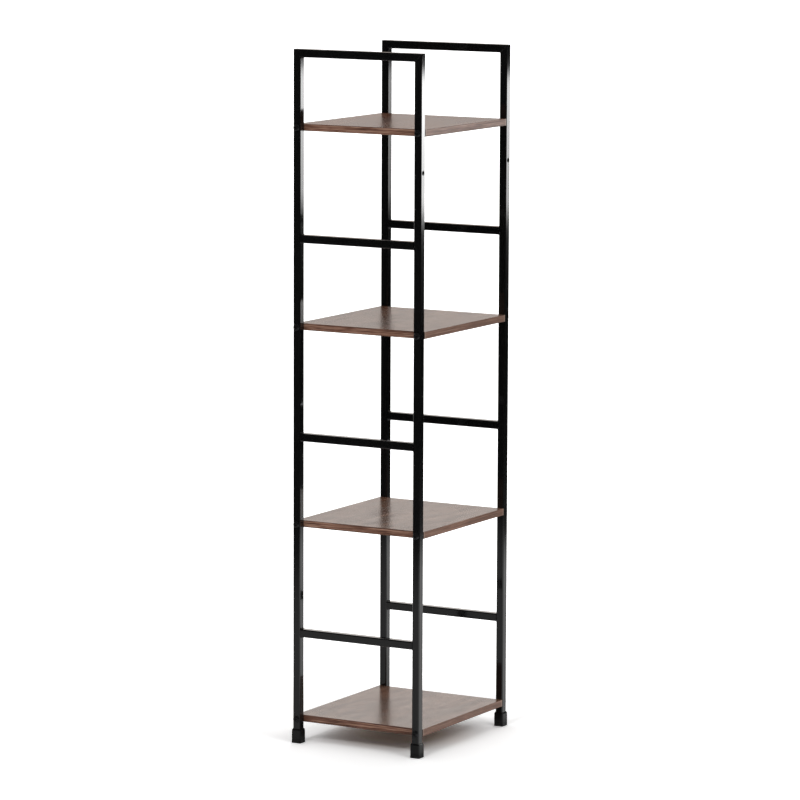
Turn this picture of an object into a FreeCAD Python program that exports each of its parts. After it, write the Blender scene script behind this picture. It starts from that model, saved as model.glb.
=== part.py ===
import FreeCAD, Part
import math
import os

from FreeCAD import Vector

# A slim open rack: four wood-look boards between two welded side frames of square tube.
# Millimetres. X runs from the left frame to the right one, -Y is the front, +Z is up.
# The origin is on the floor, in the middle of the footprint.

# The rack
rack_height = 1200.0        # floor to the top of the frames
frame_depth = 250.0         # outer face of the front posts to outer face of the back posts
frame_gap = 286.0           # between the inner faces of the two frames

# Square tube of the frames
tube_side = 14.0
tube_wall = 1.0
tube_corner_radius = 2.0    # on the outside of the tube

# Boards
shelf_names = ("bottom", "lower", "upper", "top")
shelf_thickness = 12.0
lowest_shelf_height = 36.0  # floor to the underside of the bottom board
top_shelf_drop = 139.5      # from the top of the frames to the underside of the top board
edge_band_thickness = 0.8
edge_band_arris = 0.5       # bevel of the long outer edges of the bands
arris_limit_share = 0.9     # the most of the band's thickness that the bevel may take

# Rungs of the frames
rung_names = ("lower", "middle", "upper")
rung_rise = 151.0           # from the underside of a board to the underside of the rung above it

# Weld beads
weld_leg = 1.6              # width of a bead on each of the two faces that it joins
seam_width = 1.5            # of the low seam over a mitre, on the outer faces of a frame
seam_height = 0.2

# Screws that hold the boards, with a low round head
screw_diameter = 5.0
screw_length = 30.0         # under the head
screw_hole_play = 0.5       # on the diameter, in the tube
head_diameter = 11.8
head_height = 3.2
head_crown_diameter = 7.0   # of the flat in the middle of the head
socket_flat_count = 6
socket_width = 4.0          # across the flats of the socket in the head
socket_depth = 2.0

# Threaded inserts in the ends of the boards
insert_diameter = 8.0
insert_length = 14.0
insert_play = 0.1           # on the diameter, between the insert and its bore in the board
thread_play = 0.2           # on the diameter, between the screw and the insert
bore_depth = 18.0           # of the blind bore in the board

# The screws' shanks, the inserts and their holes are out of sight: they have flats, to keep the model light
hidden_flat_count = 8

# Hole for a wall strap or a hook, in the front face of each front post
tie_hole_diameter = 6.0
tie_hole_drop = 200.0       # from the top of the rack to the hole

# Foot caps
foot_height = 25.0
foot_floor = 3.5            # thickness under the end of the post
foot_wall = 1.85            # beside the post, under the shoulder
foot_flare = 0.25           # how much further out each side is at the floor
foot_shoulder_height = 2.5  # of the sloping shoulder at the top
foot_rim_wall = 0.4         # at the top of the shoulder
foot_corner_radius = 2.2
foot_rim_corner_share = 0.45    # radius of the rim's corners, as a share of the cap's
foot_play = 0.1             # on the width, between the post and the cap

cut_overrun = 2.0           # how far a cutting body stands past the face that it cuts

right_angle = 90.0          # degrees

# Places that follow from the sizes above
frame_inner_x = frame_gap / 2
frame_centre_x = frame_inner_x + tube_side / 2
frame_outer_y = frame_depth / 2
post_centre_y = frame_outer_y - tube_side / 2
post_inner_y = frame_outer_y - tube_side
shelf_pitch = (rack_height - top_shelf_drop - lowest_shelf_height) / (len(shelf_names) - 1)
shelf_undersides = [lowest_shelf_height + level * shelf_pitch for level in range(len(shelf_names))]
rung_undersides = [height + rung_rise for height in shelf_undersides[:len(rung_names)]]
screw_heights = [height + shelf_thickness / 2 for height in shelf_undersides]
tie_hole_height = rack_height - tie_hole_drop

origin = Vector(0, 0, 0)
x_axis = Vector(1, 0, 0)
y_axis = Vector(0, 1, 0)
z_axis = Vector(0, 0, 1)
sides = {"left": -1, "right": 1}
ends = {"front": -1, "back": 1}


def rounded_square(side, radius, height):
    """A square wire with round corners, centred on the Z axis, at a height."""
    half = side / 2
    flat = half - radius
    edges = []
    for quarter_turn in range(4):
        line = Part.makeLine(Vector(half, -flat, height), Vector(half, flat, height))
        corner = Part.makeCircle(radius, Vector(flat, flat, height), z_axis, 0, right_angle)
        for edge in (line, corner):
            edge.rotate(origin, z_axis, quarter_turn * right_angle)
            edges.append(edge)
    return Part.Wire(edges)


def centred_box(length, depth, height, underside):
    """A box centred on the Z axis."""
    return Part.makeBox(length, depth, height, Vector(-length / 2, -depth / 2, underside))


def square_prism(side, radius, length):
    """A solid bar with round corners that stands on the XY plane."""
    return Part.Face(rounded_square(side, radius, 0)).extrude(z_axis * length)


def hollow_tube(length):
    """A length of the frames' tube, standing on the XY plane with both ends square."""
    inner_side = tube_side - 2 * tube_wall
    inside = centred_box(inner_side, inner_side, length, 0)
    return square_prism(tube_side, tube_corner_radius, length).cut(inside)


def mitre_wedge():
    """What a mitre removes from a tube's upper end, where the tube stands with its long side at -Y.

    The wedge is in the tube's own frame, with its tip at the height zero on the long side."""
    reach = tube_side + cut_overrun
    half = tube_side / 2
    corners = [
        Vector(-reach, -half - cut_overrun, cut_overrun),
        Vector(-reach, half + cut_overrun, -tube_side - cut_overrun),
        Vector(-reach, half + cut_overrun, cut_overrun),
    ]
    outline = Part.makePolygon(corners + corners[:1])
    return Part.Face(outline).extrude(x_axis * 2 * reach)


def placed(shape, position, outward):
    """A copy of a piece made along Z, moved to a position with its Z turned to a direction."""
    copy = shape.copy()
    copy.Placement = FreeCAD.Placement(position, FreeCAD.Rotation(z_axis, outward))
    return copy


def flatted_bar(flats, corner_radius, length, start, direction):
    """A bar with a number of flats, from a start along a direction; its corners are at a radius."""
    corners = []
    for index in range(flats + 1):
        angle = 2 * math.pi * index / flats
        corners.append(Vector(corner_radius * math.cos(angle), corner_radius * math.sin(angle), 0))
    bar = Part.Face(Part.makePolygon(corners)).extrude(z_axis * length)
    return placed(bar, start, direction)


def corner_radius_over_flats(flats, width):
    """The radius to the corners of a section with a number of flats and a width across them."""
    return width / 2 / math.cos(math.pi / flats)


def hidden_hole(diameter, start, direction, length):
    """A cutting bar whose flats lie just outside a drilled hole of a diameter."""
    corner_radius = corner_radius_over_flats(hidden_flat_count, diameter)
    return flatted_bar(hidden_flat_count, corner_radius, length, start, direction)


def post(side, end):
    """An upright tube: mitred at the top, with a hole through both walls at each board."""
    bottom = foot_floor
    tube = hollow_tube(rack_height - bottom)
    wedge = mitre_wedge()
    wedge.translate(z_axis * (rack_height - bottom))
    tube = tube.cut(wedge)
    if end > 0:
        tube.rotate(origin, z_axis, 2 * right_angle)
    tube.translate(Vector(side * frame_centre_x, end * post_centre_y, bottom))
    cutters = []
    hole_length = tube_side + 2 * cut_overrun
    for height in screw_heights:
        start = Vector(side * (frame_inner_x - cut_overrun), end * post_centre_y, height)
        cutters.append(hidden_hole(screw_diameter + screw_hole_play, start, x_axis * side, hole_length))
    if end < 0:
        start = Vector(side * frame_centre_x, -frame_outer_y - cut_overrun, tie_hole_height)
        depth = cut_overrun + tube_side / 2
        cutters.append(Part.makeCylinder(tie_hole_diameter / 2, depth, start, y_axis))
    return tube.cut(cutters)


def top_rail(side):
    """The tube along the top of a frame, mitred into the posts at both ends."""
    tube = hollow_tube(frame_depth)
    wedge = mitre_wedge()
    wedge.translate(z_axis * frame_depth)
    other_wedge = wedge.mirror(Vector(0, 0, frame_depth / 2), z_axis)
    tube = tube.cut([wedge, other_wedge])
    # The long side turns from -Y to +Z as the tube is laid down along Y.
    tube.rotate(origin, x_axis, -right_angle)
    tube.translate(Vector(side * frame_centre_x, -frame_outer_y, rack_height - tube_side / 2))
    return tube


def rung(side, underside):
    """A cross tube, cut square, between the posts of a frame."""
    tube = hollow_tube(2 * post_inner_y)
    tube.rotate(origin, x_axis, -right_angle)
    tube.translate(Vector(side * frame_centre_x, -post_inner_y, underside + tube_side / 2))
    return tube


def weld_bead(side, end, height, upward):
    """A fillet bead in the corner between a post's inner face and a level face at a height."""
    width = tube_side - 2 * tube_corner_radius
    corner = Vector(side * frame_centre_x - width / 2, end * post_inner_y, height)
    on_post = corner + z_axis * upward * weld_leg
    on_level = corner - y_axis * end * weld_leg
    outline = Part.makePolygon([corner, on_post, on_level, corner])
    return Part.Face(outline).extrude(x_axis * width)


def mitre_seam(side, end, face):
    """A low seam along a mitre, on the face of a frame that looks to -X or +X."""
    length = (tube_side - 2 * tube_corner_radius) * math.sqrt(2)
    seam = Part.makeBox(seam_height, length, seam_width, Vector(0, -length / 2, -seam_width / 2))
    seam.rotate(origin, x_axis, end * right_angle / 2)
    if face < 0:
        seam.translate(x_axis * -seam_height)
    corner_middle = Vector(side * frame_centre_x, end * post_centre_y, rack_height - tube_side / 2)
    seam.translate(corner_middle + x_axis * face * tube_side / 2)
    return seam


def frame_welds(side):
    """The beads at the rungs' ends and inside the mitred corners, and the seams over the mitres."""
    beads = []
    for end in ends.values():
        for underside in rung_undersides:
            beads.append(weld_bead(side, end, underside, -1))
            beads.append(weld_bead(side, end, underside + tube_side, 1))
        beads.append(weld_bead(side, end, rack_height - tube_side, -1))
        for face in (-1, 1):
            beads.append(mitre_seam(side, end, face))
    return Part.makeCompound(beads)


def shelf_corners(underside):
    """For each corner of a board, the middle of the insert's mouth and the way into the board."""
    places = []
    for side in sides.values():
        for end in ends.values():
            mouth = Vector(side * frame_inner_x, end * post_centre_y, underside + shelf_thickness / 2)
            places.append((mouth, x_axis * -side))
    return places


def insert_bores(underside):
    """The blind bores for the inserts, in the ends of a board."""
    bores = []
    for mouth, inward in shelf_corners(underside):
        start = mouth - inward * cut_overrun
        bores.append(hidden_hole(insert_diameter + insert_play, start, inward, bore_depth + cut_overrun))
    return bores


def shelf_board(underside):
    """The core of a board with its faced top and underside, inside its edge bands."""
    length = frame_gap - 2 * edge_band_thickness
    depth = frame_depth - 2 * edge_band_thickness
    return centred_box(length, depth, shelf_thickness, underside).cut(insert_bores(underside))


def edge_band(length, underside, outer_distance, turn):
    """A strip along X at the front of a board, its outer edges bevelled, then turned about Z."""
    strip = centred_box(length, edge_band_thickness, shelf_thickness, underside)
    outer_edges = []
    for edge in strip.Edges:
        runs_along = edge.Vertexes[0].X != edge.Vertexes[-1].X
        if runs_along and edge.CenterOfMass.y < 0:
            outer_edges.append(edge)
    strip = strip.makeChamfer(min(edge_band_arris, edge_band_thickness * arris_limit_share), outer_edges)
    strip.translate(y_axis * (edge_band_thickness / 2 - outer_distance))
    strip.rotate(origin, z_axis, turn)
    return strip


def shelf_edge_bands(underside):
    """The four glued strips round a board: long ones at front and back, short ones between them."""
    short_length = frame_depth - 2 * edge_band_thickness
    bores = insert_bores(underside)
    bands = []
    for turn in (0, 2 * right_angle):
        bands.append(edge_band(frame_gap, underside, frame_outer_y, turn))
        bands.append(edge_band(short_length, underside, frame_inner_x, turn + right_angle).cut(bores))
    return Part.makeCompound(bands)


def screw():
    """A screw along Z: the underside of its head at zero, the head above and the shank below."""
    downward = z_axis * -1
    head = Part.makeCone(head_diameter / 2, head_crown_diameter / 2, head_height)
    socket_radius = corner_radius_over_flats(socket_flat_count, socket_width)
    mouth = z_axis * (head_height + cut_overrun)
    socket = flatted_bar(socket_flat_count, socket_radius, socket_depth + cut_overrun, mouth, downward)
    shank = flatted_bar(hidden_flat_count, screw_diameter / 2, screw_length, origin, downward)
    return head.cut(socket).fuse(shank)


def insert():
    """A metal insert along Z, its mouth at zero and its body below."""
    downward = z_axis * -1
    body = flatted_bar(hidden_flat_count, insert_diameter / 2, insert_length, origin, downward)
    thread_length = insert_length + 2 * cut_overrun
    start = z_axis * cut_overrun
    return body.cut(hidden_hole(screw_diameter + thread_play, start, downward, thread_length))


def shelf_screws(underside):
    """The four screws of a board, their heads on the outer faces of the frames."""
    one = screw()
    screws = []
    for mouth, inward in shelf_corners(underside):
        screws.append(placed(one, mouth - inward * tube_side, inward * -1))
    return Part.makeCompound(screws)


def shelf_inserts(underside):
    """The four inserts of a board, flush with its ends."""
    one = insert()
    inserts = []
    for mouth, inward in shelf_corners(underside):
        inserts.append(placed(one, mouth, inward * -1))
    return Part.makeCompound(inserts)


def foot_cap(side, end):
    """A moulded cap pushed over the end of a post, flared at the floor and sloping in at its top."""
    pocket_side = tube_side + foot_play
    top_side = pocket_side + 2 * foot_wall
    bottom_side = top_side + 2 * foot_flare
    rim_side = pocket_side + 2 * foot_rim_wall
    rim_radius = foot_corner_radius * foot_rim_corner_share
    cap = Part.makeLoft([
        rounded_square(bottom_side, foot_corner_radius, 0),
        rounded_square(top_side, foot_corner_radius, foot_height - foot_shoulder_height),
        rounded_square(rim_side, rim_radius, foot_height),
    ], True, True)
    cap = cap.cut(centred_box(pocket_side, pocket_side, foot_height, foot_floor))
    cap.translate(Vector(side * frame_centre_x, end * post_centre_y, 0))
    return cap


def all_nodes():
    """Every sub-part by its name."""
    nodes = {}
    for side_name, side in sides.items():
        for end_name, end in ends.items():
            nodes[f"{side_name}_{end_name}_post"] = post(side, end)
            nodes[f"{side_name}_{end_name}_foot_cap"] = foot_cap(side, end)
        nodes[f"{side_name}_top_rail"] = top_rail(side)
        for rung_name, underside in zip(rung_names, rung_undersides):
            nodes[f"{side_name}_{rung_name}_rung"] = rung(side, underside)
        nodes[f"{side_name}_frame_welds"] = frame_welds(side)
    for shelf_name, underside in zip(shelf_names, shelf_undersides):
        nodes[f"{shelf_name}_shelf_board"] = shelf_board(underside)
        nodes[f"{shelf_name}_shelf_edge_bands"] = shelf_edge_bands(underside)
        nodes[f"{shelf_name}_shelf_screws"] = shelf_screws(underside)
        nodes[f"{shelf_name}_shelf_inserts"] = shelf_inserts(underside)
    return nodes


os.makedirs("parts", exist_ok=True)
for node_name, node_shape in all_nodes().items():
    node_shape.exportStep(f"parts/{node_name}.step")
    volume = round(node_shape.Volume, 1)
    print(node_name, len(node_shape.Solids), "solids", volume, "mm3", "valid", node_shape.isValid())
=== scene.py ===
import math
import random

import bmesh
import bpy
from mathutils import Matrix, Vector


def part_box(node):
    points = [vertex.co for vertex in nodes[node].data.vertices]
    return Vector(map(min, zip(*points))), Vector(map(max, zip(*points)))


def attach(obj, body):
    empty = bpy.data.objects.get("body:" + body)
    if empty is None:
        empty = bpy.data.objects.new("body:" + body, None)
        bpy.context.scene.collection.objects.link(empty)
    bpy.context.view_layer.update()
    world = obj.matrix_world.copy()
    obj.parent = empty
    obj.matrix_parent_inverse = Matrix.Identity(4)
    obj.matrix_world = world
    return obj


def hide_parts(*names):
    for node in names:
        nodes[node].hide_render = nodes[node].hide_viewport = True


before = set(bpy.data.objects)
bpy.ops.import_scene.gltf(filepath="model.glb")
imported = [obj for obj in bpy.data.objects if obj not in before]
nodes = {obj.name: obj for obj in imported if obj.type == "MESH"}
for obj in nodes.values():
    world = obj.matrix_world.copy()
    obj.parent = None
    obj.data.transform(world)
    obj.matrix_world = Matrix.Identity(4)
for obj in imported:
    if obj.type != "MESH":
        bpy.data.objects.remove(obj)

MM = 0.001
rng = random.Random(7)

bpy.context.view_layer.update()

# Names in the frame, the sides with their signs along X and the ends with theirs along Y
shelf_names = ("bottom", "lower", "upper", "top")
rung_names = ("lower", "middle", "upper")
side_signs = {"left": -1, "right": 1}
end_signs = {"front": -1, "back": 1}

# Where the boards are
board_low, board_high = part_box("bottom_shelf_board")
lowest_board_z = board_low.z
board_thickness = board_high.z - board_low.z
board_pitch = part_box("lower_shelf_board")[0].z - lowest_board_z
band_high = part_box("bottom_shelf_edge_bands")[1]

# Where the posts are
post_low, post_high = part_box("right_back_post")
post_x = (post_low.x + post_high.x) / 2
post_y = (post_low.y + post_high.y) / 2
tube_side = post_high.x - post_low.x
tube_corner = 2.0 * MM
frame_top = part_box("right_top_rail")[1].z
frame_outer_y = post_y + tube_side / 2
post_inner_y = post_y - tube_side / 2
tie_hole_height = 1.0

# Camera, at the photograph's angle
camera_place = Vector((-6.568, -3.735, 1.655))
camera_turn = math.radians(60.352)      # from +Y towards +X
camera_tilt = math.radians(-8.028)
camera_roll = math.radians(0.216)
camera_focal_pixels = 4410.0
photo_pixels = 800
sensor_width_mm = 36.0
nearest_view = 0.05
farthest_view = 200.0


def add_camera():
    forward = Vector((math.sin(camera_turn) * math.cos(camera_tilt),
                      math.cos(camera_turn) * math.cos(camera_tilt),
                      math.sin(camera_tilt)))
    level_right = Vector((math.cos(camera_turn), -math.sin(camera_turn), 0))
    level_up = level_right.cross(forward)
    right = level_right * math.cos(camera_roll) + level_up * math.sin(camera_roll)
    up = right.cross(forward)
    data = bpy.data.cameras.new("camera")
    data.sensor_width = sensor_width_mm
    data.lens = camera_focal_pixels / photo_pixels * sensor_width_mm
    data.clip_start = nearest_view
    data.clip_end = farthest_view
    camera = bpy.data.objects.new("camera", data)
    bpy.context.scene.collection.objects.link(camera)
    turned = Matrix((right, up, -forward)).transposed()
    camera.matrix_world = Matrix.Translation(camera_place) @ turned.to_4x4()
    bpy.context.scene.camera = camera


class Shader:
    """A small helper that fills the tree of a material or world with linked nodes."""

    def __init__(self, owner):
        owner.use_nodes = True
        self.owner = owner
        self.tree = owner.node_tree
        self.tree.nodes.clear()

    def add(self, kind, inputs=None, **settings):
        node = self.tree.nodes.new(kind)
        for key, value in settings.items():
            setattr(node, key, value)
        for key, value in (inputs or {}).items():
            socket = node.inputs[key]
            if isinstance(value, bpy.types.NodeSocket):
                self.tree.links.new(value, socket)
            else:
                socket.default_value = value
        return node

    def math(self, operation, a, b=0.0, c=0.0):
        return self.add("ShaderNodeMath", {0: a, 1: b, 2: c}, operation=operation).outputs[0]

    def position(self):
        """The object's own coordinates, whole and split. They are the row frame's metres."""
        whole = self.add("ShaderNodeTexCoord").outputs["Object"]
        split = self.add("ShaderNodeSeparateXYZ", {0: whole})
        return whole, tuple(split.outputs)

    def vector(self, x, y, z):
        return self.add("ShaderNodeCombineXYZ", {0: x, 1: y, 2: z}).outputs[0]

    def dot(self, vector, way):
        """How far a vector reaches along a way."""
        node = self.add("ShaderNodeVectorMath", {0: vector, 1: way}, operation="DOT_PRODUCT")
        return node.outputs["Value"]

    def noise(self, vector, pattern):
        """Noise from 0 to 1. Its pattern is a scale per metre, a detail and a roughness."""
        scale, detail, roughness = pattern
        node = self.add("ShaderNodeTexNoise", {"Vector": vector, "Scale": scale, "Detail": detail,
                                               "Roughness": roughness})
        return node.outputs["Fac"]

    def grain(self, along, across, seed, pattern):
        """Noise drawn out along the grain. Its pattern is two scales, a detail and a roughness."""
        along_scale, across_scale, detail, roughness = pattern
        vector = self.vector(self.math("MULTIPLY_ADD", along, along_scale, seed),
                             self.math("MULTIPLY", across, across_scale), seed)
        return self.noise(vector, (1.0, detail, roughness))

    def vary(self, number, noise, contrast):
        """A number with noise added, whose middle of 0.5 changes nothing."""
        return self.math("MULTIPLY_ADD", self.math("SUBTRACT", noise, 0.5), contrast, number)

    def spread(self, value, ends, results=(0.0, 1.0), smooth=False):
        """A number that goes from one result to the other while a value goes from end to end."""
        kind = "SMOOTHSTEP" if smooth else "LINEAR"
        inputs = {0: value, 1: ends[0], 2: ends[1], 3: results[0], 4: results[1]}
        return self.add("ShaderNodeMapRange", inputs, interpolation_type=kind).outputs[0]

    def fade(self, value, ends, share=1.0):
        """A share up to the first end, which fades to nought at the second."""
        return self.spread(value, ends, (share, 0.0), smooth=True)

    def blend(self, share, a, b):
        """A number between two others."""
        return self.add("ShaderNodeMix", {0: share, 2: a, 3: b}, data_type="FLOAT").outputs[0]

    def ramp(self, value, stops):
        """A colour read off stops, each a place from 0 to 1 with the colour there."""
        node = self.add("ShaderNodeValToRGB", {0: value})
        elements = node.color_ramp.elements
        while len(elements) < len(stops):
            elements.new(0.5)
        for element, (place, colour) in zip(elements, stops):
            element.position = place
            element.color = (*colour, 1.0)
        return node.outputs["Color"]

    def profile(self, value, reach, points):
        """A number read off a broken line through points that lie between zero and a reach."""
        stops = [(place / reach, (level, level, level)) for place, level in points]
        return self.ramp(self.math("DIVIDE", value, reach), stops)

    def mix(self, share, a, b, blend_type="MIX"):
        """A colour between two others, or of the first multiplied by the second."""
        node = self.add("ShaderNodeMix", data_type="RGBA", blend_type=blend_type)
        for socket, value in ((node.inputs[0], share), (node.inputs[6], a), (node.inputs[7], b)):
            if isinstance(value, bpy.types.NodeSocket):
                self.tree.links.new(value, socket)
            elif isinstance(value, tuple):
                socket.default_value = (*value, 1.0)
            else:
                socket.default_value = value
        return node.outputs[2]

    def bump(self, height, relief, normal=None):
        """A bumped normal. Its relief is a strength and a distance."""
        strength, distance = relief
        inputs = {"Height": height, "Strength": strength, "Distance": distance}
        if normal is not None:
            inputs["Normal"] = normal
        return self.add("ShaderNodeBump", inputs).outputs[0]

    def surface(self, kind, inputs):
        """The material, with a shader of this kind as its surface."""
        shader = self.add(kind, inputs).outputs[0]
        self.add("ShaderNodeOutputMaterial", {"Surface": shader})
        return self.owner

    def principled(self, inputs):
        return self.surface("ShaderNodeBsdfPrincipled", inputs)


# What several finishes share. Patterns, reliefs and stops are made up as Shader says. A cut is the
# noise at which something begins, and the noise at which it is full.
noise_middle = (0.3, 0.7)       # nearly all noise lies between these
lacquer_ior = 1.5
white = (1.0, 1.0, 1.0)

# Frame paint
orange_peel = (520, 2.0, 0.4)
peel_relief = (0.05, 0.3 * MM)
paint_swell = (45, 3.0, 0.5)
swell_relief = (0.03, 0.6 * MM)
paint_wear = (8, 4.0, 0.6)
paint_stops = ((0.3, (0.0036, 0.0036, 0.0037)), (0.7, (0.0054, 0.0054, 0.0055)))
paint_roughness = (0.065, 0.105)
coat_share = 0.6
coat_roughness = 0.05
dust_noise = (1900, 1.0, 0.3)
dust_cut = (0.72, 0.78)
dust_share = 0.12
dust_grey = (0.05, 0.05, 0.05)
shade_depth = 0.6 * MM          # into the tube's wall, beyond which its inside has painted shade
shaded_rim_radius = 4.0 * MM   # of a tie hole with a rim of painted shade round it
# Painted shade: near black and dull, with no coat, inside the tubes and in and round the tie holes
hole_shade_black = (0.002, 0.002, 0.002)
hole_shade_roughness = 1.0


def within(s, value, middle, half):
    """One where a value's size lies nearer than half to a middle, else nought."""
    away = s.math("ABSOLUTE", s.math("SUBTRACT", s.math("ABSOLUTE", value), middle))
    return s.math("LESS_THAN", away, half)


def hole_shade_mask(s, x, y, z):
    """One where shade is painted, inside the posts' tubes and in and round the front posts' tie holes,
    else nought.
    """
    half_bore = tube_side / 2 - shade_depth
    bore = s.math("MULTIPLY", within(s, x, post_x, half_bore), within(s, y, post_y, half_bore))
    bore = s.math("MULTIPLY", bore, s.math("LESS_THAN", z, frame_top - shade_depth))
    sideways = s.math("SUBTRACT", s.math("ABSOLUTE", x), post_x)
    above = s.math("SUBTRACT", z, tie_hole_height)
    square = s.math("MULTIPLY_ADD", sideways, sideways, s.math("MULTIPLY", above, above))
    hole = s.math("MULTIPLY", s.math("LESS_THAN", s.math("SQRT", square), shaded_rim_radius),
                  s.math("LESS_THAN", y, -post_y))
    return s.math("MAXIMUM", bore, hole)


def frame_paint():
    """Glossy black paint with orange peel and dust specks, and painted shade, dull and near black, in the
    tubes and round the tie holes.
    """
    s = Shader(bpy.data.materials.new("frame_paint"))
    place, (x, y, z) = s.position()
    hole_shade = hole_shade_mask(s, x, y, z)
    swell = s.noise(place, paint_swell)
    specks = s.spread(s.noise(place, dust_noise), dust_cut)
    colour = s.ramp(s.noise(place, paint_wear), paint_stops)
    colour = s.mix(s.math("MULTIPLY", specks, dust_share), colour, dust_grey)
    # Painted shade, near black and dull, inside the tubes and round the tie holes
    colour = s.mix(hole_shade, colour, hole_shade_black)
    rough = s.blend(hole_shade, s.spread(swell, noise_middle, paint_roughness), hole_shade_roughness)
    coat = s.blend(hole_shade, coat_share, 0.0)
    normal = s.bump(s.noise(place, orange_peel), peel_relief)
    normal = s.bump(swell, swell_relief, normal)
    return s.principled({"Base Color": colour, "Roughness": rough, "Normal": normal, "IOR": lacquer_ior,
                         "Coat Weight": coat, "Coat Roughness": coat_roughness,
                         "Coat IOR": lacquer_ior})


# Weld paint
weld_grit = (1400, 3.0, 0.5)
weld_relief = (0.12, 0.2 * MM)
weld_stops = ((0.3, (0.0026, 0.0026, 0.0027)), (0.7, (0.006, 0.006, 0.0062)))
weld_roughness = (0.14, 0.24)
weld_coat_share = 0.5
weld_coat_roughness = 0.12


def weld_paint():
    """The same paint over the weld beads, a little rougher."""
    s = Shader(bpy.data.materials.new("weld_paint"))
    place, _ = s.position()
    grit = s.noise(place, weld_grit)
    rough = s.spread(grit, noise_middle, weld_roughness)
    normal = s.bump(grit, weld_relief)
    return s.principled({"Base Color": s.ramp(grit, weld_stops), "Roughness": rough, "Normal": normal,
                         "IOR": lacquer_ior, "Coat Weight": weld_coat_share,
                         "Coat Roughness": weld_coat_roughness})


# Foot plastic
mould_grain = (2600, 2.0, 0.6)
mould_relief = (0.12, 0.08 * MM)
plastic_blotch = (160, 4.0, 0.6)
plastic_stops = ((0.3, (0.0036, 0.0036, 0.0038)), (0.7, (0.0066, 0.0066, 0.0068)))
plastic_roughness = (0.12, 0.20)
plastic_ior = 1.48
scuff_heights = (0.5 * MM, 4.5 * MM)
scuff_cut = (0.45, 0.6)
scuff_share = 0.25
scuff_grey = (0.045, 0.044, 0.042)


def foot_plastic():
    """Satin black moulded plastic with a spark-eroded grain, scuffed near the floor."""
    s = Shader(bpy.data.materials.new("foot_plastic"))
    place, (_, _, height) = s.position()
    grain = s.noise(place, mould_grain)
    blotch = s.noise(place, plastic_blotch)
    scuff = s.math("MULTIPLY", s.fade(height, scuff_heights), s.spread(blotch, scuff_cut))
    colour = s.ramp(blotch, plastic_stops)
    colour = s.mix(s.math("MULTIPLY", scuff, scuff_share), colour, scuff_grey)
    rough = s.spread(grain, noise_middle, plastic_roughness)
    normal = s.bump(grain, mould_relief)
    return s.principled({"Base Color": colour, "Roughness": rough, "Normal": normal, "IOR": plastic_ior})


# Board laminate: its walnut figure
drift_grain = (3.5, 9.0, 2.0, 0.5)
drift_sway = 0.045              # metres by which the drift bends the grain
broad_grain = (2.2, 14.0, 4.0, 0.6)
broad_share = 0.8
bands_grain = (5.0, 75.0, 3.0, 0.6)
coarse_contrast = 1.6
lines_grain = (6.0, 260.0, 3.0, 0.65)
fine_grain = (22.0, 1500.0, 2.0, 0.5)
fine_share = 0.5
thin_contrast = 0.9
pores_grain = (190.0, 3800.0, 1.0, 0.4)
pore_cut = (0.66, 0.74)

# Board laminate: its colours and finish
laminate_seed = 7.31            # from one board to the next
mottle_noise = (48, 3.0, 0.6)
mottle_stretch = 0.45
mottle_contrast = 1.3
# Painted reflection: greyer patches that stand for a patchy sheen on the boards
reflection_patch_noise = (38, 3.0, 0.6)
reflection_patch_stretch = 0.5
reflection_patch_seed = 3.7
reflection_patch_cut = (0.45, 0.65)
reflection_patch_shares = (0.0, 0.55)
reflection_patch_brown = (0.120, 0.080, 0.060)
laminate_stops = ((0.05, (0.060, 0.024, 0.014)), (0.40, (0.110, 0.050, 0.030)),
                  (0.62, (0.153, 0.077, 0.049)), (0.95, (0.215, 0.122, 0.084)))
lit_rim_width = 24 * MM             # of the painted light, a paler stretch along the front and left edges
lit_rim_share = 0.45
lit_rim_brown = (0.26, 0.150, 0.095)
pore_share = 0.5
pore_brown = (0.035, 0.018, 0.013)
pore_relief = (0.25, 0.06 * MM)
tone_relief = (0.05, 0.1 * MM)
top_board_tint = (0.97, 0.80, 0.72)
laminate_roughness = (0.26, 0.20)
pore_roughness = 0.12
below_board = 100 * MM          # what lies this far below a board still counts as that board's


def board_index(s, z):
    """Which board a point is on, counted from the bottom one, as a whole number."""
    level = s.math("DIVIDE", s.math("SUBTRACT", z, lowest_board_z - below_board), board_pitch)
    return s.math("FLOOR", level)


def wood_figure(s, along, across, seed):
    """Walnut figure from places along and across the grain: its tone and its pores, from 0 to 1."""
    drift = s.grain(along, across, seed, drift_grain)
    bent = s.math("MULTIPLY_ADD", drift, drift_sway, across)
    broad = s.grain(along, across, seed, broad_grain)
    bands = s.grain(along, bent, seed, bands_grain)
    lines = s.grain(along, bent, seed, lines_grain)
    fine = s.grain(along, bent, seed, fine_grain)
    pores = s.grain(along, bent, seed, pores_grain)
    # Each sum less its middle, as noise has its middle at 0.5
    coarse = s.math("SUBTRACT", s.math("MULTIPLY_ADD", broad, broad_share, bands), (1 + broad_share) / 2)
    thin = s.math("SUBTRACT", s.math("MULTIPLY_ADD", fine, fine_share, lines), (1 + fine_share) / 2)
    tone = s.math("MULTIPLY_ADD", coarse, coarse_contrast, 0.5)
    tone = s.math("MULTIPLY_ADD", thin, thin_contrast, tone)
    return tone, s.spread(pores, pore_cut)


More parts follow.
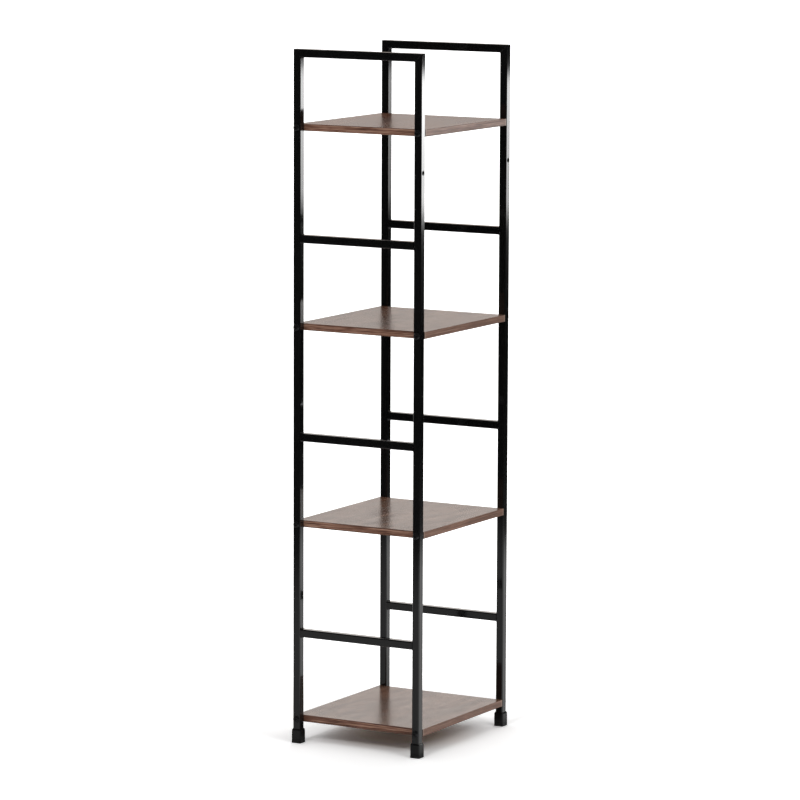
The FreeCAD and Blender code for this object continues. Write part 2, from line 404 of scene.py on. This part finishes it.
def board_laminate():
    """Dark walnut laminate with its grain along X, each board cut from another part of the print."""
    s = Shader(bpy.data.materials.new("board_laminate"))
    _, (x, y, z) = s.position()
    level = board_index(s, z)
    seed = s.math("MULTIPLY", level, laminate_seed)
    tone, pore = wood_figure(s, x, y, seed)
    mottle = s.noise(s.vector(s.math("MULTIPLY", x, mottle_stretch), y, seed), mottle_noise)
    tone = s.vary(tone, mottle, mottle_contrast)
    # Painted reflection in greyer patches
    reflection_patch_place = s.vector(s.math("MULTIPLY", x, reflection_patch_stretch), y, s.math("ADD", seed, reflection_patch_seed))
    reflection_patch = s.spread(s.noise(reflection_patch_place, reflection_patch_noise), reflection_patch_cut, reflection_patch_shares)
    # Painted light: a paler, warmer stretch along the front and left edges
    lit_rim = s.math("MAXIMUM", s.fade(x, (-band_high.x, lit_rim_width - band_high.x)),
                 s.fade(y, (-band_high.y, lit_rim_width - band_high.y)))
    is_top_board = s.math("GREATER_THAN", level, len(shelf_names) - 1.5)
    colour = s.mix(reflection_patch, s.ramp(tone, laminate_stops), reflection_patch_brown)
    colour = s.mix(s.math("MULTIPLY", lit_rim, lit_rim_share), colour, lit_rim_brown)
    colour = s.mix(s.math("MULTIPLY", pore, pore_share), colour, pore_brown)
    colour = s.mix(is_top_board, colour, top_board_tint, "MULTIPLY")
    rough = s.spread(mottle, noise_middle, laminate_roughness)
    rough = s.math("MULTIPLY_ADD", pore, pore_roughness, rough)
    normal = s.bump(s.math("MULTIPLY", pore, -1.0), pore_relief)
    normal = s.bump(tone, tone_relief, normal)
    return s.principled({"Base Color": colour, "Roughness": rough, "Normal": normal, "IOR": lacquer_ior})


# Edge bands: their streaks, hairs and patches, each a grain with its contrast
band_grains = (((6.0, 560.0, 3.0, 0.6), 2.4),
               ((35.0, 1500.0, 2.0, 0.6), 1.6),
               ((16.0, 120.0, 3.0, 0.6), 0.9))
band_seed = 3.77                # from one board to the next
end_band_seed = 1.9
long_band_contrast = 0.6        # against 1 on the end bands

# Edge bands: their colours and finish. A line, corner or gap's painted shade is full up to its first
# distance from the band's edge or end, and gone at its second.
band_stops = ((0.10, (0.070, 0.027, 0.015)), (0.38, (0.150, 0.066, 0.040)),
              (0.60, (0.245, 0.118, 0.076)), (0.90, (0.420, 0.250, 0.180)))
# Pale of the bands' corners, and of the painted light on the long bands
band_pale_and_light = (0.42, 0.31, 0.24)
long_band_light_share = 0.10
# Darker lines along the band's top and bottom edges
top_dark_line = (0.8 * MM, 1.6 * MM)
top_dark_share = 0.6
long_band_top_dark_share = 0.2      # of the line along the top, against 1 on the end bands
bottom_dark_line = (0.7 * MM, 1.5 * MM)
bottom_dark_share = 0.45
edge_line_brown = (0.035, 0.017, 0.012)
pale_corner = (3.2 * MM, 4.2 * MM)
pale_corner_share = 0.55
# Painted shade in the gap at each end of a long band
end_gap_shade = (0.9 * MM, 1.5 * MM)
end_gap_shade_share = 0.9
gap_shade_brown = (0.030, 0.013, 0.010)
top_skin = 0.15 * MM            # of the band, which shows beside the board from above
top_skin_brown = (0.11, 0.055, 0.035)
top_skin_roughness = 0.23
band_tones = (0.2, 0.8)
band_roughness = (0.40, 0.33)
band_relief = (0.15, 0.12 * MM)


def edge_band():
    """Streaked red-brown edge band, darker along its top and bottom edges and with pale corners at its
    ends; the long bands have painted light, and painted shade in the gaps at their ends.
    """
    s = Shader(bpy.data.materials.new("edge_band"))
    _, (x, y, z) = s.position()
    sideways = s.math("ABSOLUTE", x)
    is_end = s.math("MULTIPLY", s.math("GREATER_THAN", sideways, board_high.x),
                    s.math("LESS_THAN", s.math("ABSOLUTE", y), board_high.y))
    is_long = s.math("SUBTRACT", 1.0, is_end)
    level = board_index(s, z)
    seed = s.math("MULTIPLY_ADD", level, band_seed, s.math("MULTIPLY", is_end, end_band_seed))
    height = s.math("SUBTRACT", z, s.math("MULTIPLY_ADD", level, board_pitch, lowest_board_z))
    below_top = s.math("SUBTRACT", board_thickness, height)
    from_end = s.math("SUBTRACT", band_high.x, sideways)
    along = s.blend(is_end, x, y)
    tone = 0.5
    for pattern, contrast in band_grains:
        tone = s.vary(tone, s.grain(along, height, seed, pattern), contrast)
    tone = s.vary(0.5, tone, s.blend(is_end, long_band_contrast, 1.0))
    top_dark = s.math("MULTIPLY", s.fade(below_top, top_dark_line, top_dark_share),
                      s.blend(is_end, long_band_top_dark_share, 1.0))
    bottom_dark = s.fade(height, bottom_dark_line, bottom_dark_share)
    pale = s.math("MULTIPLY", s.fade(from_end, pale_corner, pale_corner_share), is_long)
    gap_shade = s.math("MULTIPLY", s.fade(from_end, end_gap_shade, end_gap_shade_share), is_long)
    on_top = s.math("LESS_THAN", below_top, top_skin)
    colour = s.ramp(tone, band_stops)
    # Painted light: the long bands paler, as though lit more
    colour = s.mix(s.math("MULTIPLY", is_long, long_band_light_share), colour, band_pale_and_light)
    colour = s.mix(s.math("MAXIMUM", top_dark, bottom_dark), colour, edge_line_brown)
    colour = s.mix(pale, colour, band_pale_and_light)
    # Painted shade in the gaps at the long bands' ends
    colour = s.mix(gap_shade, colour, gap_shade_brown)
    colour = s.mix(on_top, colour, top_skin_brown)
    rough = s.blend(on_top, s.spread(tone, band_tones, band_roughness), top_skin_roughness)
    normal = s.bump(tone, band_relief)
    return s.principled({"Base Color": colour, "Roughness": rough, "Normal": normal, "IOR": lacquer_ior})


# Screws' black oxide
oxide_grain = (1600, 3.0, 0.55)
oxide_relief = (0.06, 0.1 * MM)
oxide_stops = ((0.3, (0.007, 0.007, 0.0073)), (0.7, (0.014, 0.014, 0.0147)))
oxide_roughness = (0.20, 0.32)
oxide_metallic = 0.25
rub_noise = (700, 2.0, 0.5)
rub_cut = (0.60, 0.72)
rub_share = 0.15
rubbed_steel = (0.09, 0.09, 0.092)


def screw_black():
    """Black oxide on a formed steel head: satin, rubbed bright in fine spots."""
    s = Shader(bpy.data.materials.new("screw_black"))
    place, _ = s.position()
    grain = s.noise(place, oxide_grain)
    rub = s.spread(s.noise(place, rub_noise), rub_cut)
    colour = s.mix(s.math("MULTIPLY", rub, rub_share), s.ramp(grain, oxide_stops), rubbed_steel)
    rough = s.spread(grain, noise_middle, oxide_roughness)
    normal = s.bump(grain, oxide_relief)
    return s.principled({"Base Color": colour, "Roughness": rough, "Normal": normal,
                         "Metallic": oxide_metallic, "IOR": lacquer_ior})


# Inserts' brass
tool_ring_scale = 3000.0
tool_ring_noise = (1.0, 2.0, 0.5)
tool_ring_relief = (0.2, 0.1 * MM)
tarnish_noise = (300, 3.0, 0.5)
brass_stops = ((0.3, (0.42, 0.30, 0.12)), (0.7, (0.60, 0.45, 0.20)))
brass_roughness = (0.22, 0.36)


def insert_metal():
    """Turned brass with fine tool rings along X."""
    s = Shader(bpy.data.materials.new("insert_metal"))
    place, (x, _, _) = s.position()
    rings = s.noise(s.vector(s.math("MULTIPLY", x, tool_ring_scale), 0.0, 0.0), tool_ring_noise)
    colour = s.ramp(s.noise(place, tarnish_noise), brass_stops)
    rough = s.spread(rings, noise_middle, brass_roughness)
    normal = s.bump(rings, tool_ring_relief)
    return s.principled({"Base Color": colour, "Roughness": rough, "Normal": normal, "Metallic": 1.0})


def make_materials():
    return {"paint": frame_paint(), "weld": weld_paint(), "plastic": foot_plastic(),
            "laminate": board_laminate(), "band": edge_band(), "screw": screw_black(),
            "metal": insert_metal()}


def dress(node_name, material):
    """Give a node of the frame its material."""
    mesh = nodes[node_name].data
    mesh.materials.clear()
    mesh.materials.append(material)


def dress_nodes(materials):
    for side in side_signs:
        for end in end_signs:
            dress(f"{side}_{end}_post", materials["paint"])
            dress(f"{side}_{end}_foot_cap", materials["plastic"])
        dress(f"{side}_top_rail", materials["paint"])
        for rung in rung_names:
            dress(f"{side}_{rung}_rung", materials["paint"])
        dress(f"{side}_frame_welds", materials["weld"])
    for shelf in shelf_names:
        dress(f"{shelf}_shelf_board", materials["laminate"])
        dress(f"{shelf}_shelf_edge_bands", materials["band"])
        dress(f"{shelf}_shelf_screws", materials["screw"])
        dress(f"{shelf}_shelf_inserts", materials["metal"])


# Pieces that stand in for plainer solids
def new_piece(name, fill, material, replaced, crease):
    """A new piece from a function that fills a bmesh. Edges bent by less than the crease are smooth."""
    bm = bmesh.new()
    fill(bm)
    bmesh.ops.recalc_face_normals(bm, faces=bm.faces)
    mesh = bpy.data.meshes.new(name)
    bm.to_mesh(mesh)
    bm.free()
    mesh.polygons.foreach_set("use_smooth", [True] * len(mesh.polygons))
    mesh.set_sharp_from_angle(angle=math.radians(crease))
    mesh.materials.append(material)
    piece = bpy.data.objects.new(name, mesh)
    bpy.context.scene.collection.objects.link(piece)
    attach(piece, "root")
    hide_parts(replaced)


def join_rings(bm, rings):
    """Faces between rings of vertices of one length, with a face over each end."""
    count = len(rings[0])
    for lower, upper in zip(rings, rings[1:]):
        for k in range(count):
            bm.faces.new((lower[k], lower[(k + 1) % count], upper[(k + 1) % count], upper[k]))
    bm.faces.new(rings[0])
    bm.faces.new(rings[-1])


# Screws: a domed head with a hexagon socket, on a threaded shank
head_radius = 5.9 * MM
head_height = 3.2 * MM
head_rim = 0.45 * MM            # height of the head's upright rim
head_edge = 0.1 * MM            # bevel under the rim
crown_radius = 2.7 * MM         # of the flat round the socket's mouth
socket_half_width = 2.0 * MM    # from the middle to a flat
socket_depth = 2.0 * MM
socket_tip_radius = 0.8 * MM
socket_tip_depth = 2.5 * MM
mouth_bevel = 0.3 * MM
mouth_hexagon = 0.2             # how six-sided the bevel's outer edge still is
neck_fillet = 0.2 * MM
shank_radius = 2.5 * MM
shank_length = 30.0 * MM
plain_length = 2.0 * MM         # of the shank under the head
thread_root = 2.1 * MM
thread_pitch = 0.8 * MM
tip_bevel = 1.0 * MM
screw_segments = 48
dome_steps = 9
screw_crease = 30


def screw_ring(bm, frame_of_screw, radius, height, hexagon=0.0):
    """A ring of vertices round the screw's axis. Hexagon blends it from a circle to a six-sided ring."""
    sixth = math.pi / 3
    vertices = []
    for k in range(screw_segments):
        angle = 2 * math.pi * k / screw_segments
        to_flat = (angle % sixth) - sixth / 2
        reach = radius * (1 + hexagon * (1 / math.cos(to_flat) - 1))
        spot = Vector((reach * math.cos(angle), reach * math.sin(angle), height))
        vertices.append(bm.verts.new(frame_of_screw @ spot))
    return vertices


def screw_profile():
    """Radius and height of each ring, from the socket's tip over the head and down the shank.

    A third number says how six-sided a ring is. Heights count from under the head.
    """
    profile = [(socket_tip_radius, head_height - socket_tip_depth, 1.0),
               (socket_half_width, head_height - socket_depth, 1.0),
               (socket_half_width, head_height - mouth_bevel, 1.0),
               (socket_half_width + mouth_bevel, head_height, mouth_hexagon),
               (crown_radius, head_height)]
    for step in range(1, dome_steps + 1):
        turn = math.pi / 2 * step / dome_steps
        profile.append((crown_radius + (head_radius - crown_radius) * math.sin(turn),
                        head_rim + (head_height - head_rim) * math.cos(turn)))
    profile += [(head_radius, head_edge),
                (head_radius - head_edge, 0.0),
                (shank_radius + neck_fillet, 0.0),
                (shank_radius, -neck_fillet),
                (shank_radius, -plain_length)]
    depth = plain_length + thread_pitch / 2
    while depth < shank_length - tip_bevel - thread_pitch:
        profile += [(thread_root, -depth), (shank_radius, -depth - thread_pitch / 2)]
        depth += thread_pitch
    profile += [(thread_root, tip_bevel - shank_length),
                (thread_root - tip_bevel / 2, -shank_length)]
    return profile


def shelf_screws(shelf):
    """A function that fills a bmesh with the four screws of a board."""
    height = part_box(f"{shelf}_shelf_board")[0].z + board_thickness / 2
    profile = screw_profile()

    def fill(bm):
        for side in side_signs.values():
            for end in end_signs.values():
                seat = Vector((side * (post_x + tube_side / 2), end * post_y, height))
                turned = Vector((side, 0, 0)).to_track_quat("Z", "Y").to_matrix().to_4x4()
                spin = Matrix.Rotation(rng.uniform(0, math.pi / 3), 4, "Z")
                frame_of_screw = Matrix.Translation(seat) @ turned @ spin
                join_rings(bm, [screw_ring(bm, frame_of_screw, *line) for line in profile])
    return fill


# Weld beads: rippled fillets inside the frames' corners, and the raised seams of the mitres
weld_step = 0.21 * MM
weld_arc_steps = 6
weld_taper = 1.3 * MM           # length of a weld's ends, which grow to its full size
ripple_pitch = 1.25 * MM
bead_leg = 1.6 * MM
bead_start = 0.3 * weld_taper   # how far into the taper a bead's ends are
bead_ripple = 0.16
bead_jitter = 0.02
bead_hollowness = 1.25          # 1 is a round arc, and more is hollow
bead_sink = 0.05 * MM
seam_width = 1.5 * MM
seam_height = 0.22 * MM
seam_start = 0.1 * MM
seam_ripple = 0.4
seam_jitter = 0.05
seam_sink = 0.1 * MM
mitre_inset = 0.8 * tube_corner     # of the seams' outer ends
weld_crease = 60


def end_taper(run, length, start):
    """How full a weld is at a place along it, from its two thin ends to one."""
    return math.sqrt(min(1.0, (min(run, length - run) + start) / weld_taper))


def ripple(run, depth):
    """How high a weld's ripple is at a place along it, from one less its depth to one."""
    phase = (run / ripple_pitch) % 1.0
    return 1 - depth * phase * phase


def weld_bead(bm, corner, along, length, first_way, second_way):
    """A rippled bead from a corner, in the angle between two ways, tapered at its two ends."""
    steps = round(length / weld_step)
    rings = []
    for step in range(steps + 1):
        run = length * step / steps
        size = bead_leg * end_taper(run, length, bead_start)
        size *= ripple(run, bead_ripple) + rng.uniform(-bead_jitter, bead_jitter)
        centre = corner + along * run
        vertices = [bm.verts.new(centre - (first_way + second_way) * bead_sink)]
        for k in range(weld_arc_steps + 1):
            turn = math.pi / 2 * k / weld_arc_steps
            spot = first_way * math.cos(turn) ** bead_hollowness
            spot += second_way * math.sin(turn) ** bead_hollowness
            vertices.append(bm.verts.new(centre + spot * size))
        rings.append(vertices)
    join_rings(bm, rings)


def mitre_seam(bm, start, end, outward):
    """A low rippled seam on a flat face, from a start to an end."""
    along = (end - start).normalized()
    across = along.cross(outward)
    length = (end - start).length
    steps = round(length / weld_step)
    rings = []
    for step in range(steps + 1):
        run = length * step / steps
        taper = end_taper(run, length, seam_start)
        height = seam_height * taper * ripple(run, seam_ripple)
        half = seam_width / 2 * taper * (1 + rng.uniform(-seam_jitter, seam_jitter))
        centre = start + along * run
        vertices = [bm.verts.new(centre - across * half - outward * seam_sink)]
        for k in range(weld_arc_steps + 1):
            turn = math.pi * k / weld_arc_steps
            spot = outward * height * math.sin(turn) - across * half * math.cos(turn)
            vertices.append(bm.verts.new(centre + spot))
        vertices.append(bm.verts.new(centre + across * half - outward * seam_sink))
        rings.append(vertices)
    join_rings(bm, rings)


def frame_welds(side):
    """A function that fills a bmesh with the beads and seams of one side frame."""
    width = tube_side - 2 * tube_corner
    corners = [(frame_top - tube_side, -1)]     # heights, each with the bead's way up or down
    for rung in rung_names:
        low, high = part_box(f"right_{rung}_rung")
        corners += [(low.z, -1), (high.z, 1)]

    def fill(bm):
        for end in end_signs.values():
            for height, upward in corners:
                corner = Vector((side * post_x - width / 2, end * post_inner_y, height))
                weld_bead(bm, corner, Vector((1, 0, 0)), width, Vector((0, 0, upward)),
                          Vector((0, -end, 0)))
            for face in (-1, 1):
                flat_x = side * post_x + face * tube_side / 2
                outer = Vector((flat_x, end * (frame_outer_y - mitre_inset), frame_top - mitre_inset))
                inner = Vector((flat_x, end * (post_inner_y + mitre_inset / 2),
                                frame_top - tube_side + mitre_inset / 2))
                mitre_seam(bm, outer, inner, Vector((face, 0, 0)))
    return fill


# Foot caps
cap_bottom_side = 18.3 * MM
cap_top_side = 17.8 * MM
cap_rim_side = 14.9 * MM
cap_pocket_side = 14.1 * MM
cap_height = 25.0 * MM
cap_shoulder = 2.5 * MM         # height of the slope to the rim
cap_shoulder_height = cap_height - cap_shoulder
cap_shoulder_sag = 0.12         # share of its height by which the slope dips at its middle
cap_shoulder_steps = 4
cap_floor = 3.5 * MM
cap_sole_bevel = 0.5 * MM
cap_corner = 2.2 * MM
cap_rim_corner = 1.0 * MM
cap_pocket_corner = 0.6 * MM
cap_corner_steps = 6
cap_groove_heights = (4.2 * MM, 6.6 * MM)
cap_groove_width = 0.9 * MM
cap_groove_depth = 0.35 * MM
cap_edge_strip = 0.3 * MM       # beside each bend, so that the flats shade flat
cap_crease = 40


def square_ring(bm, x, y, side, radius, height):
    """A ring of vertices round a square with round corners, with a narrow strip beside each corner."""
    spots = []
    for quarter in range(4):
        turn = math.pi / 2 * quarter
        first_way = Vector((math.cos(turn), math.sin(turn)))
        last_way = Vector((-first_way.y, first_way.x))
        centre = (first_way + last_way) * (side / 2 - radius)
        spots.append(centre + first_way * radius - last_way * cap_edge_strip)
        for step in range(cap_corner_steps + 1):
            bend = math.pi / 2 * step / cap_corner_steps
            spots.append(centre + (first_way * math.cos(bend) + last_way * math.sin(bend)) * radius)
        spots.append(centre + last_way * radius - first_way * cap_edge_strip)
    return [bm.verts.new((x + spot.x, y + spot.y, height)) for spot in spots]


def cap_side(height):
    """The side of a cap at a height below its shoulder."""
    return cap_bottom_side + (cap_top_side - cap_bottom_side) * height / cap_shoulder_height


def cap_profile():
    """Side, corner radius and height of each ring, from the sole over the rim into the pocket."""
    profile = [(cap_bottom_side - 2 * cap_sole_bevel, cap_corner - cap_sole_bevel, 0.0),
               (cap_side(cap_sole_bevel), cap_corner, cap_sole_bevel)]
    half = cap_groove_width / 2
    groove = ((-half - cap_edge_strip, 0.0), (-half, 0.0), (-half / 2, cap_groove_depth),
              (half / 2, cap_groove_depth), (half, 0.0), (half + cap_edge_strip, 0.0))
    for height in cap_groove_heights:
        for shift, depth in groove:
            profile.append((cap_side(height) - 2 * depth, cap_corner - depth, height + shift))
    strip_height = cap_shoulder_height - cap_edge_strip
    profile.append((cap_side(strip_height), cap_corner, strip_height))
    for step in range(cap_shoulder_steps + 1):
        share = step / cap_shoulder_steps
        inward = (share + 1 - math.cos(math.pi / 2 * share)) / 2
        upward = share - cap_shoulder_sag * math.sin(math.pi * share)
        profile.append((cap_top_side + (cap_rim_side - cap_top_side) * inward,
                        cap_corner + (cap_rim_corner - cap_corner) * share,
                        cap_shoulder_height + cap_shoulder * upward))
    profile += [(cap_pocket_side, cap_pocket_corner, cap_height),
                (cap_pocket_side, cap_pocket_corner, cap_floor)]
    return profile


def foot_cap(x, y):
    """A function that fills a bmesh with one moulded cap, with its pocket."""
    def fill(bm):
        join_rings(bm, [square_ring(bm, x, y, *line) for line in cap_profile()])
    return fill


def add_pieces(materials):
    for shelf in shelf_names:
        new_piece(f"{shelf}_shelf_screws_detail", shelf_screws(shelf), materials["screw"],
                  f"{shelf}_shelf_screws", screw_crease)
    for side_name, side in side_signs.items():
        new_piece(f"{side_name}_frame_welds_detail", frame_welds(side), materials["weld"],
                  f"{side_name}_frame_welds", weld_crease)
        for end_name, end in end_signs.items():
            cap_name = f"{side_name}_{end_name}_foot_cap"
            new_piece(f"{cap_name}_detail", foot_cap(side * post_x, end * post_y),
                      materials["plastic"], cap_name, cap_crease)


# Floor. A pair is two places or distances from the rack's middle between which something changes.
floor_size = 60.0
floor_drop = 0.1 * MM
floor_level = 0.8               # to the light itself
near_white = 1.30               # to the camera, under and beside the rack
far_white = 1.80
white_ring = (0.28, 0.50)
# Painted shade, darker and warmer, on the floor under the rack
under_rack_shade = (0.84, 0.72, 0.64)
under_rack_shade_ring = (0.04, 0.15)
left_to_right = (-0.1, 0.5)
front_to_middle = (-0.17, -0.13)
middle_to_back = (0.15, 0.6)
back_level = 0.9                # in gloss, on the backdrop's side

# Distances from the rack's middle, and how bright the floor is there in gloss
floor_glow_reach = 4.0
floor_left_glow = ((1.25, 0.32), (1.60, 0.24), (2.00, 0.09), (2.25, 0.02), (3.0, 0.008))
floor_right_glow = ((1.05, 0.77), (1.65, 0.86), (1.80, 0.76), (1.94, 0.61), (2.06, 0.43),
                    (2.20, 0.10), (2.35, 0.06), (3.5, 0.008))


def floor_material():
    """White to the camera, pale to the light, lit only near by in gloss, with painted shade, darker and
    warmer, under the rack.
    """
    s = Shader(bpy.data.materials.new("floor"))
    rays = s.add("ShaderNodeLightPath").outputs
    _, (x, y, _) = s.position()
    distance = s.math("SQRT", s.math("ADD", s.math("MULTIPLY", x, x), s.math("MULTIPLY", y, y)))
    rightward = s.spread(x, left_to_right, smooth=True)
    glow = s.blend(s.math("MAXIMUM", rightward, s.fade(y, front_to_middle)),
                   s.profile(distance, floor_glow_reach, floor_left_glow),
                   s.profile(distance, floor_glow_reach, floor_right_glow))
    backward = s.spread(y, middle_to_back, smooth=True)
    glow = s.blend(s.math("MULTIPLY", backward, rightward), glow, back_level)
    level = s.blend(rays["Is Glossy Ray"], floor_level, glow)
    seen = s.spread(distance, white_ring, (near_white, far_white), smooth=True)
    level = s.blend(rays["Is Camera Ray"], level, seen)
    grey = s.add("ShaderNodeCombineColor", {0: level, 1: level, 2: level}).outputs[0]
    # Painted shade under the rack
    tint = s.mix(s.spread(distance, under_rack_shade_ring, smooth=True), under_rack_shade, white)
    return s.surface("ShaderNodeBsdfDiffuse", {"Color": s.mix(1.0, grey, tint, "MULTIPLY")})


def add_plane(name, place, right, up, width, height, material):
    """A flat card centred on a place, its face along right x up."""
    mesh = bpy.data.meshes.new(name)
    corners = []
    for a, b in ((-1, -1), (1, -1), (1, 1), (-1, 1)):
        corners.append(place + right * (a * width / 2) + up * (b * height / 2))
    mesh.from_pydata(corners, [], [(0, 1, 2, 3)])
    mesh.materials.append(material)
    card = bpy.data.objects.new(name, mesh)
    bpy.context.scene.collection.objects.link(card)
    return card


def add_floor():
    add_plane("floor", Vector((0, 0, -floor_drop)), Vector((1, 0, 0)), Vector((0, 1, 0)),
              floor_size, floor_size, floor_material())


# The bright card that the front faces of the posts mirror
card_way = Vector((math.sin(camera_turn), -math.cos(camera_turn), 0.0))
card_across = Vector((math.cos(camera_turn), math.sin(camera_turn), 0.0))
card_distance = 2.0
card_middle_height = 0.76
card_width = 0.9
card_height = 0.70
card_strength = 4.60
card_side_slope = -4.6          # of the glow's logarithm, sideways along the card
card_side_curve = -8.2

# Heights on the card, and its glow there
card_glow_reach = 1.2
card_glow = ((0.45, 0.0), (0.50, 0.002), (0.547, 0.004), (0.60, 0.007), (0.625, 0.010),
             (0.65, 0.014), (0.675, 0.021), (0.70, 0.05), (0.727, 0.28), (0.752, 0.60),
             (0.80, 0.62), (0.985, 1.0), (1.014, 1.0), (1.029, 0.44), (1.045, 0.03), (1.07, 0.0))


def card_material():
    """The card's glow: brighter towards the camera's side and its top, with a dim tail below."""
    s = Shader(bpy.data.materials.new("front_card"))
    place, (_, _, height) = s.position()
    sideways = s.dot(place, card_across)
    slope = s.math("MULTIPLY_ADD", sideways, card_side_curve, card_side_slope)
    dimming = s.math("POWER", math.e, s.math("MULTIPLY", sideways, slope))
    glow = s.math("MULTIPLY", s.profile(height, card_glow_reach, card_glow), dimming)
    return s.surface("ShaderNodeEmission", {"Color": (*white, 1.0),
                                            "Strength": s.math("MULTIPLY", glow, card_strength)})


def add_card():
    card = add_plane("front_card", card_way * card_distance + Vector((0, 0, card_middle_height)),
                     card_across, Vector((0, 0, 1)), card_width, card_height, card_material())
    card.visible_camera = False
    card.visible_diffuse = False
    card.visible_shadow = False


# World. A rise, crown, foot or head is two heights of a direction, level at 0 and straight up at 1.
# A facing is two measures of how nearly it looks at the backdrop, which is straight ahead at 1.
dome_level = 0.525
dome_top_level = 0.64
dome_rise = (0.0, 0.20)
dome_crown = (0.62, 0.90)
dome_low_tint = (1.0, 0.86, 0.72)
backdrop_way = (math.sin(camera_turn), math.cos(camera_turn), 0.0)
backdrop_level = 1.76
backdrop_facing = (0.45, 0.90)
backdrop_foot = (0.0, 0.12)
backdrop_head = (0.30, 0.50)

# The backdrop in gloss, where the rest of the room is nearly dark
gloss_facing = (0.60, 0.86)
gloss_levels = (0.012, 1.0)
gloss_rise = ((0.04, 0.24), (0.077, 0.31), (0.121, 0.67), (0.165, 0.88), (0.24, 1.35))
gloss_tint = (1.0, 0.95, 0.91)
gloss_low_tint = (1.0, 0.81, 0.69)
gloss_tint_rise = (0.085, 0.14)


def add_world():
    """White to the camera, soft light from above and from the backdrop, and in gloss the backdrop."""
    world = bpy.data.worlds.new("studio")
    bpy.context.scene.world = world
    s = Shader(world)
    rays = s.add("ShaderNodeLightPath").outputs
    direction = s.add("ShaderNodeTexCoord").outputs["Generated"]
    height = s.add("ShaderNodeSeparateXYZ", {0: direction}).outputs["Z"]
    facing = s.dot(direction, backdrop_way)
    rise = s.spread(height, dome_rise, smooth=True)
    dome = s.math("MULTIPLY", rise, s.spread(height, dome_crown, (dome_level, dome_top_level), True))
    upright = s.math("MULTIPLY", s.spread(height, backdrop_foot, smooth=True),
                     s.fade(height, backdrop_head))
    backdrop = s.math("MULTIPLY", s.spread(facing, backdrop_facing, smooth=True), upright)
    soft = s.math("MULTIPLY_ADD", backdrop, backdrop_level, dome)
    gloss = s.math("MULTIPLY", s.spread(facing, gloss_facing, gloss_levels, True),
                   s.profile(height, 1.0, gloss_rise))
    level = s.blend(rays["Is Glossy Ray"], soft, gloss)
    level = s.blend(rays["Is Camera Ray"], level, 1.0)
    soft_tint = s.mix(s.math("MAXIMUM", rise, rays["Is Camera Ray"]), dome_low_tint, white)
    mirrored_tint = s.mix(s.spread(height, gloss_tint_rise, smooth=True), gloss_low_tint, gloss_tint)
    tint = s.mix(rays["Is Glossy Ray"], soft_tint, mirrored_tint)
    background = s.add("ShaderNodeBackground", {"Color": tint, "Strength": level}).outputs[0]
    s.add("ShaderNodeOutputWorld", {"Surface": background})


# Distant soft lamps: azimuth from +X towards +Y, elevation and spread in degrees, and strength
softboxes = {"side_softbox": (180, 40, 12, 0.64),
             "front_softbox": (255, 40, 26, 0.61),
             "back_softbox": (20, 50, 26, 0.18)}


def add_softbox(name, azimuth, elevation, spread, strength):
    turn, tilt = math.radians(azimuth), math.radians(elevation)
    way = Vector((math.cos(turn) * math.cos(tilt), math.sin(turn) * math.cos(tilt), math.sin(tilt)))
    data = bpy.data.lights.new(name, "SUN")
    data.energy = strength
    data.angle = math.radians(spread)
    lamp = bpy.data.objects.new(name, data)
    bpy.context.scene.collection.objects.link(lamp)
    lamp.rotation_euler = (-way).to_track_quat("-Z", "Y").to_euler()
    lamp.visible_glossy = False


def add_studio():
    add_floor()
    add_world()
    for name, settings in softboxes.items():
        add_softbox(name, *settings)
    add_card()


bpy.context.scene.view_settings.view_transform = "Standard"
add_camera()
looks = make_materials()
dress_nodes(looks)
add_pieces(looks)
add_studio()
